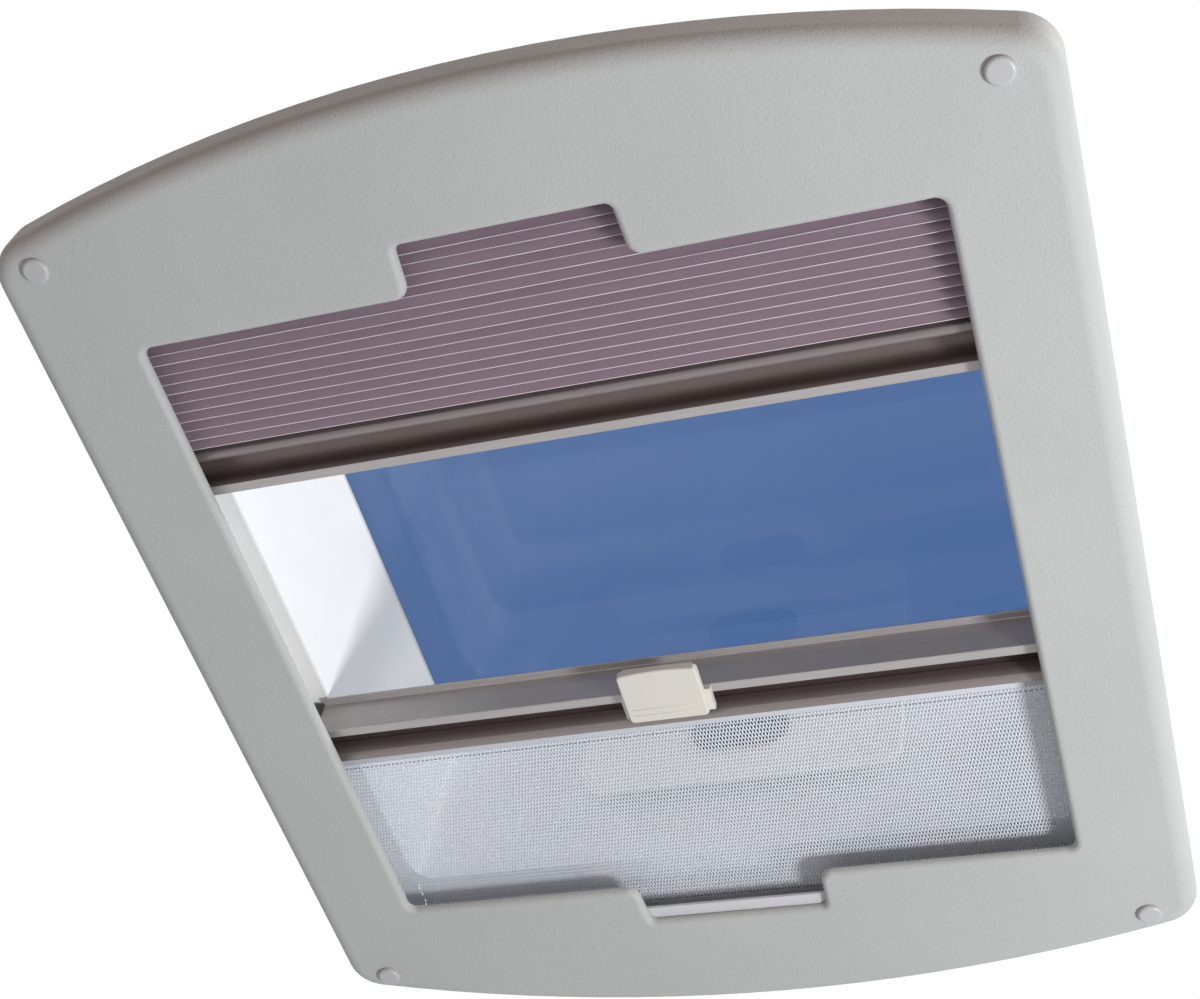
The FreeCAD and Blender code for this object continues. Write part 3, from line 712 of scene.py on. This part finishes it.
@dataclass
class RoofFrame:
    """The shaft with its rim and seal, the rails and the blinds' cassettes."""

    cover_wall: float = 0.0015
    cover_round: float = 0.0004
    cover_segments: int = 2
    shaft_inside_rail: float = 0.0127

    def build(self) -> None:
        """Dresses the frame's nodes and closes the gap above the screen's cassette."""
        self.cover()
        dress("roof_frame", SHAFT_WHITE)
        dress("lid_seal", SEAL_RUBBER)
        dress("blackout_cassette", CASSETTE_GREY)
        dress("screen_cassette", CASSETTE_GREY)
        dress("screen_roller", ROLLER_METAL)
        for side in SIDES:
            dress("guide_rail_" + side, RAIL_GREY)

    def cover(self) -> None:
        """Stands an angle on the screen's cassette that closes the gap below the shaft's outer face."""
        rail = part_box("guide_rail_left")[1]
        mouth = -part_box("blackout_cassette")[1].y
        shelf = rail.z
        shaft = rail.y - self.shaft_inside_rail
        half = -rail.x - self.cover_round
        foot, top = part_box("screen_cassette")[1].z - self.cover_wall, shelf + self.cover_wall
        sides = [(mouth + self.cover_wall, foot), (mouth + self.cover_wall, top), (shaft, top)]
        sides += [(shaft, shelf), (mouth, shelf), (mouth, foot)]
        piece = Piece("screen_cassette_cover", SHAFT_WHITE, "cassette")
        corners = [(y, z, self.cover_round) for y, z in sides]
        piece.draw(corners, -half, half, self.cover_segments)
        piece.riding(Body.FRAME)


@dataclass
class PullBar:
    """A drawn bar: a flat strip at the opening, a deep groove and a rounded lip at the fabric."""

    node: str
    body: Body
    fabric: Side
    ledge: float = 0.0
    ledge_thickness: float = 0.001
    strip: float = 0.005
    groove_depth: float = 0.013
    cove_round: float = 0.0072
    floor_end: float = 0.0148
    lip_start: float = 0.0186
    lip_rise: float = 0.0006
    lip_crest: float = 0.0015
    rib_place: float = 0.0158
    rib_width: float = 0.0008
    rib_drop: float = 0.0011
    with_rib: bool = False
    round_segments: int = 5
    edge_round: float = 0.0007
    mouth_round: float = 0.00035
    floor_round: float = 0.0016
    rib_rounds: tuple[float, float] = (0.0001, 0.0002)
    lip_round: float = 0.0018
    top_round: float = 0.0006
    ledge_round: float = 0.0003
    # Painted shade: depth at which the groove's painted shade is full, and the share painted on the lip at
    # the fabric.
    painted_shade_full: float = 0.006
    painted_lip_shade: float = 0.62
    groove_slack: float = 0.01

    def cove(self, across: float) -> float:
        """Returns how deep the groove's slope is at a place across the bar."""
        share = (across - self.floor_end) / (self.lip_start - self.floor_end)
        return self.groove_depth + share * (self.lip_rise - self.groove_depth)

    def section(self, width: float, height: float) -> list[Corner]:
        """Lists the section's corners from the opening's side.

        Args:
            width: The bar's width.
            height: The bar's height.

        Returns:
            Place across, height above the underside and rounding of each corner.
        """
        corners = [(0.0, 0.0, self.edge_round), (self.strip, 0.0, self.mouth_round)]
        corners.append((self.strip, self.groove_depth, self.cove_round))
        corners.append((self.floor_end, self.groove_depth, self.floor_round))
        if self.with_rib:
            start, end = self.rib_place, self.rib_place + self.rib_width
            tip, foot = self.cove(start) - self.rib_drop, self.cove(end) - self.rib_drop / 2
            root_round, tip_round = self.rib_rounds
            corners += [(start, self.cove(start), root_round), (start, tip, tip_round)]
            corners += [(end, foot, tip_round), (end, self.cove(end), root_round)]
        corners.append((self.lip_start, self.lip_rise, self.lip_round))
        corners.append((width - self.lip_crest, 0.0, self.edge_round))
        corners.append((width, self.lip_crest, self.edge_round))
        corners.append((width, height, self.top_round))
        if self.ledge:
            under = height - self.ledge_thickness
            corners += [(-self.ledge, height, self.ledge_round), (-self.ledge, under, self.ledge_round)]
            corners.append((0.0, under, self.top_round))
        else:
            corners.append((0.0, height, self.top_round))
        return corners

    def build(self) -> bpy.types.Object:
        """Draws the bar's section along X.

        Returns:
            The bar, which stands for its node.
        """
        low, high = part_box(self.node)
        opening_y = low.y if self.fabric is Side.FAR else high.y
        piece = Piece(self.node + "_section", BAR_METAL, "bar")
        corners = [
            (opening_y + self.fabric.value * across, low.z + height, rounding)
            for across, height, rounding in self.section(high.y - low.y, high.z - low.z)
        ]
        piece.draw(corners, low.x, high.x, self.round_segments)
        # Writes the painted shade that the metal finish reads: darker in the groove and on the lip at the
        # fabric.
        painted_shade = piece.shape.verts.layers.float.new("painted_shade")
        for vert in piece.shape.verts:
            across = (vert.co.y - opening_y) * self.fabric.value
            vert[painted_shade] = self.painted_shade(across, vert.co.z - low.z)
        return piece.riding(self.body, self.node)

    def painted_shade(self, across: float, depth: float) -> float:
        """Says how much painted shade a place gets: full deep in the groove, partly on the lip at the
        fabric.

        Args:
            across: The place across the bar, from the opening's side.
            depth: Its height above the underside.

        Returns:
            0 on open faces, 1 for full painted shade deep in the groove.
        """
        in_width = self.strip * (1.0 - self.groove_slack) < across < self.lip_start
        if in_width and depth < self.groove_depth * (1.0 + self.groove_slack):
            return min(1.0, depth / self.painted_shade_full)
        at_lip = across >= self.lip_start and depth < self.groove_depth
        return self.painted_lip_shade if at_lip else 0.0


@dataclass
class BlackoutBlind:
    """The pleated blind on its pull bar."""

    pleats: int = 22
    thickness: float = 0.0003
    crease_radius: float = 0.0004
    cells_across: int = 48
    crease_segments: int = 3
    sharp_angle: float = math.radians(80)
    level_slack: float = 1e-6
    wander: float = 0.00018
    slow_wave: tuple[float, float] = (21.0, 2.3)
    quick_wave: tuple[float, float] = (47.0, 4.1)
    quick_share: float = 0.6

    def build(self) -> None:
        """Makes the cloth and dresses the bar and its sliders."""
        PullBar("blackout_bar", Body.BLACKOUT, Side.NEAR).build()
        for side in SIDES:
            dress("blackout_slider_" + side, SLIDER_BLACK)
        self.cloth()

    def cloth(self) -> None:
        """Makes the pleated cloth between its cassette and its bar."""
        low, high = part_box("blackout_pleats")
        piece = Piece("pleated_cloth", BLIND_CLOTH, "pleat", self.sharp_angle)
        shape = piece.shape
        pitch = (high.y - low.y) / self.pleats
        top, bottom = high.z - self.thickness, low.z + self.thickness
        folds = range(2 * self.pleats + 1)
        profile = [
            shape.verts.new((low.x, low.y + fold * pitch / 2, bottom if fold % 2 else top)) for fold in folds
        ]
        for pair in zip(profile, profile[1:]):
            shape.edges.new(pair)
        step = (high.x - low.x) / self.cells_across
        bmesh.ops.spin(
            shape, geom=shape.verts[:] + shape.edges[:], cent=(0, 0, 0), axis=(1, 0, 0),
            dvec=(step, 0, 0), angle=0.0, steps=self.cells_across,
        )
        creased = [
            edge for edge in shape.edges
            if len(edge.link_faces) == 2 and abs(edge.verts[0].co.y - edge.verts[1].co.y) < self.level_slack
        ]
        piece.round_edges(creased, self.crease_radius, self.crease_segments)
        bmesh.ops.recalc_face_normals(shape, faces=shape.faces[:])
        bmesh.ops.solidify(shape, geom=shape.faces[:], thickness=self.thickness)
        cut = shape.loops.layers.uv.new("cut")
        flank = math.hypot(pitch / 2, top - bottom)
        for face in shape.faces:
            for loop in face.loops:
                share = (loop.vert.co.y - low.y) / (pitch / 2)
                loop[cut].uv = (loop.vert.co.x, share * flank)
        # The crease attribute marks the lower crests, where the cloth's finish paints its highlight.
        crease = shape.verts.layers.float.new("crease")
        for vert in shape.verts:
            vert[crease] = (top - vert.co.z) / (top - bottom)
            fold = (vert.co.y - low.y) / pitch
            ends = math.sin(math.pi * (vert.co.y - low.y) / (high.y - low.y))
            slow = math.sin(self.slow_wave[0] * vert.co.x + self.slow_wave[1] * fold)
            quick = math.sin(self.quick_wave[0] * vert.co.x - self.quick_wave[1] * fold)
            vert.co.y += self.wander * ends * (slow + self.quick_share * quick)
        obj = piece.finish_mesh()
        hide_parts("blackout_pleats")
        even_blend(obj)


@dataclass
class Flyscreen:
    """The insect screen on its pull bar, with its hem and its catch."""

    pitch: float = 0.0017
    lean: float = 0.33
    thread: float = 0.00062
    thread_height: float = 0.0002
    hem_round: float = 0.0007
    stitch_pitch: float = 0.0024
    stitch_size: Point = (0.0013, 0.0006, 0.0004)
    stitch_beyond: float = 0.0022
    bar_ledge: float = 0.004
    rib_places: tuple[float, ...] = (0.0225, 0.0262)
    rib_inset: float = 0.003
    rib_size: tuple[float, float] = (0.0007, 0.0004)
    thread_sides: int = 6
    hem_segments: int = 3
    stitch_segments: int = 1
    rib_segments: int = 2

    def build(self) -> None:
        """Makes the bar, screen, hem and catch ribs, and dresses the rest."""
        PullBar("screen_bar", Body.FLYSCREEN, Side.FAR, ledge=self.bar_ledge, with_rib=True).build()
        dress("screen_catch", CREAM)
        for side in SIDES:
            dress("screen_slider_" + side, SLIDER_BLACK)
        self.net()
        self.hem()
        self.catch_ribs()

    def net(self) -> None:
        """Makes the screen's leaning threads, which cross so that the holes are staggered."""
        low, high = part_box("screen_mesh")
        piece = Piece("screen_threads", SCREEN_YARN, "mesh")
        length = high.y - low.y
        middle = (low.z + high.z) / 2
        reach = self.lean * length
        count = math.ceil((high.x - low.x + reach) / self.pitch)
        for turn in (1.0, -1.0):
            z = middle + turn * self.thread_height / 2
            threads = []
            for i in range(count + 1):
                x = low.x - (reach if turn > 0 else 0.0) + i * self.pitch
                threads += piece.block(
                    (x - self.thread / 2, low.y, z - self.thread_height), (x + self.thread / 2, high.y, z)
                )
            for vert in threads:
                vert.co.x += turn * self.lean * (vert.co.y - low.y)
        for place, outward in ((low.x, -1.0), (high.x, 1.0)):
            whole = piece.shape.verts[:] + piece.shape.edges[:] + piece.shape.faces[:]
            cut = bmesh.ops.bisect_plane(
                piece.shape, geom=whole,
                plane_co=(place, 0, 0), plane_no=(outward, 0, 0), clear_outer=True,
            )["geom_cut"]
            rims = [g for g in cut if isinstance(g, bmesh.types.BMEdge)]
            bmesh.ops.holes_fill(piece.shape, edges=rims, sides=self.thread_sides)
        obj = piece.finish_mesh()
        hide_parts("screen_mesh")
        even_blend(obj)

    def hem(self) -> None:
        """Makes the woven tape along the bar and the row of stitches beyond it."""
        low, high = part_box("screen_hem")
        piece = Piece("screen_hem_tape", HEM_WEAVE, "hem")
        piece.block(low, high)
        piece.round_edges(piece.shape.edges[:], self.hem_round, self.hem_segments)
        piece.riding(Body.FLYSCREEN, "screen_hem")
        row = Piece("screen_hem_stitches", STITCH_THREAD, "hem")
        net_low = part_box("screen_mesh")[0]
        size = Vector(self.stitch_size)
        count = int((high.x - low.x) / self.stitch_pitch)
        for i in range(count):
            x = low.x + (i + 0.5) * self.stitch_pitch
            corner = Vector((x, net_low.y + self.stitch_beyond, net_low.z - size.z / 2))
            row.block(corner, corner + size)
        row.round_edges(row.shape.edges[:], size.z / 4, self.stitch_segments)
        row.riding(Body.FLYSCREEN)

    def catch_ribs(self) -> None:
        """Adds the two fine ridges that a finger feels on the catch's underside."""
        low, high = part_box("screen_catch")
        piece = Piece("screen_catch_ridges", CREAM, "catch")
        width, height = self.rib_size
        left, right = low.x + 2 * self.rib_inset, high.x - 2 * self.rib_inset
        for place in self.rib_places:
            y = low.y + place
            piece.block((left, y, low.z - height / 2), (right, y + width, low.z + height))
        piece.round_edges(piece.shape.edges[:], height / 3, self.rib_segments)
        piece.riding(Body.FLYSCREEN)


@dataclass
class Lid:
    """The clear lid with its handle, lock and hinges."""

    def build(self) -> None:
        """Dresses the lid's nodes and the hinges."""
        dress("dome_pane", DOME_CLEAR)
        dress("inner_pane", PANE_CLEAR)
        dress("lid_handle", HANDLE_CREAM)
        dress("lid_lock", LOCK_DARK)
        for side in SIDES:
            dress("hinge_bracket_" + side, HINGE_WHITE)
            dress("hinge_leaf_" + side, HINGE_WHITE)
            dress("hinge_pin_" + side, SCREW_STEEL)


@dataclass(frozen=True)
class SoftLamp:
    """A square lamp that faces the hatch."""

    name: str
    place: Point
    size: float
    power: float
    colour: Colour

    def hang(self) -> None:
        """Makes the lamp and turns it to the hatch."""
        data = bpy.data.lights.new(self.name, "AREA")
        data.shape = "SQUARE"
        data.size = self.size
        data.energy = self.power
        data.color = self.colour
        obj = bpy.data.objects.new(self.name, data)
        obj.location = self.place
        obj.rotation_mode = "QUATERNION"
        obj.rotation_quaternion = (-Vector(self.place)).to_track_quat("-Z", "Y")
        bpy.context.scene.collection.objects.link(obj)


WHITE: Colour = (1.0, 1.0, 1.0)


@dataclass
class Studio:
    """Camera, floor, lamps and surroundings."""

    image_width: float = 1200.0
    focal_pixels: float = 1862.48
    sensor_mm: float = 36.0
    camera_place: Point = (0.23481, -0.5033, -0.66872)
    right: Point = (0.9494703, 0.27717074, 0.14724989)
    down: Point = (-0.14588422, 0.80513996, -0.57486297)
    forward: Point = (-0.27789196, 0.52433388, 0.80489132)
    floor_half: float = 6.0
    floor_colour: Colour = (0.82, 0.82, 0.82)
    sky_pale: Colour = (0.125, 0.20, 0.40)
    sky_deep: Colour = (0.054, 0.132, 0.33)
    room_soft: Colour = (0.46, 0.46, 0.475)
    room_near: Colour = (0.31, 0.185, 0.13)
    level_soft: Colour = (0.36, 0.40, 0.45)
    overhead_soft: Colour = (0.74, 0.83, 0.96)
    upward_range: tuple[float, float] = (-0.1, 0.1)
    overhead_range: tuple[float, float] = (0.55, 0.95)
    nearward_range: tuple[float, float] = (-0.55, -0.05)
    steep_range: tuple[float, float] = (-0.8, -0.45)
    sky_range: tuple[float, float] = (0.30, 0.62)
    clip: tuple[float, float] = (0.01, 50.0)
    floor_gap: float = 0.0004
    key_below: SoftLamp = SoftLamp("key_below", (0.96, 0.0, -0.88), 0.24, 14.2, (0.99, 0.99, 1.0))
    top_side: SoftLamp = SoftLamp("top_side", (1.5, -0.4, 1.05), 0.7, 17.5, (1.0, 0.985, 0.965))

    def build(self) -> None:
        """Makes camera, floor, lamps and world."""
        self.camera()
        self.floor()
        self.key_below.hang()
        self.top_side.hang()
        self.world()

    def camera(self) -> None:
        """Places the camera where the photograph was taken."""
        data = bpy.data.cameras.new("camera")
        data.sensor_fit = "HORIZONTAL"
        data.sensor_width = self.sensor_mm
        data.lens = self.sensor_mm * self.focal_pixels / self.image_width
        data.clip_start, data.clip_end = self.clip
        columns = [Vector(self.right), -Vector(self.down), -Vector(self.forward)]
        turn = Matrix(columns).transposed().to_4x4()
        obj = bpy.data.objects.new("camera", data)
        obj.matrix_world = Matrix.Translation(Vector(self.camera_place)) @ turn
        bpy.context.scene.collection.objects.link(obj)
        bpy.context.scene.camera = obj

    def floor(self) -> None:
        """Lays a pale floor that shows only from above and lets light through from below."""
        material = bpy.data.materials.new("Pale floor")
        material.use_nodes = True
        material.node_tree.nodes.clear()
        wiring = Wiring(material.node_tree)
        pale = wiring.add("ShaderNodeBsdfDiffuse", None, Color=self.floor_colour)
        clear = wiring.add("ShaderNodeBsdfTransparent")
        path = wiring.add("ShaderNodeLightPath").outputs
        seen = wiring.math("MAXIMUM", path["Is Camera Ray"], path["Is Transmission Ray"])
        behind = wiring.add("ShaderNodeNewGeometry").outputs["Backfacing"]
        shown = wiring.math("MULTIPLY", seen, wiring.math("SUBTRACT", 1.0, behind))
        either = wiring.either(shown, clear, pale)
        output = wiring.add("ShaderNodeOutputMaterial")
        wiring.feed(output.inputs["Surface"], either.outputs[0])
        shape = bmesh.new()
        bmesh.ops.create_grid(shape, x_segments=1, y_segments=1, size=self.floor_half)
        bmesh.ops.translate(shape, verts=shape.verts[:], vec=(0, 0, -self.floor_gap))
        mesh = bpy.data.meshes.new("floor")
        shape.to_mesh(mesh)
        shape.free()
        mesh.materials.append(material)
        obj = bpy.data.objects.new("floor", mesh)
        bpy.context.scene.collection.objects.link(obj)

    def world(self) -> None:
        """Sets soft surroundings: white to look at, blue above the glazing, soft light otherwise."""
        world = bpy.data.worlds.new("surroundings")
        bpy.context.scene.world = world
        world.use_nodes = True
        world.node_tree.nodes.clear()
        wiring = Wiring(world.node_tree)
        path = wiring.add("ShaderNodeLightPath").outputs
        way = wiring.add("ShaderNodeTexCoord").outputs["Generated"]
        parts = wiring.add("ShaderNodeSeparateXYZ", None, Vector=way).outputs
        upward = wiring.span(parts[2], *self.upward_range)
        overhead = wiring.span(parts[2], *self.overhead_range)
        nearward = wiring.span(parts[1], *self.nearward_range, 1.0, 0.0)
        steep = wiring.span(parts[2], *self.steep_range, 1.0, 0.0)
        low_side = wiring.blend(nearward, self.room_soft, self.room_near)
        high_side = wiring.blend(nearward, self.level_soft, self.room_near)
        below = wiring.blend(steep, low_side, self.room_soft)
        above = wiring.blend(overhead, high_side, self.overhead_soft)
        soft = wiring.blend(upward, below, above)
        seen = wiring.math("MAXIMUM", path["Is Camera Ray"], path["Is Glossy Ray"])
        plain = wiring.blend(seen, soft, WHITE)
        glazed = wiring.math("MULTIPLY", path["Is Transmission Ray"], upward)
        level = wiring.blend(path["Is Transmission Ray"], plain, WHITE)
        depth = wiring.span(parts[1], *self.sky_range)
        sky = wiring.blend(depth, self.sky_pale, self.sky_deep)
        colour = wiring.blend(glazed, level, sky)
        background = wiring.add("ShaderNodeBackground", None, Color=colour, Strength=1.0)
        output = wiring.add("ShaderNodeOutputWorld")
        wiring.feed(output.inputs["Surface"], background.outputs[0])


def main() -> None:
    """Builds the studio and the hatch's sub-assemblies in order."""
    logging.basicConfig(level=logging.INFO, format="%(name)s: %(message)s")
    bpy.context.scene.view_settings.view_transform = "Standard"
    for assembly in (Studio(), InnerTrim(), RoofFrame(), BlackoutBlind(), Flyscreen(), Lid()):
        log.info("building %s", type(assembly).__name__)
        assembly.build()


if __name__ == "__main__":
    main()
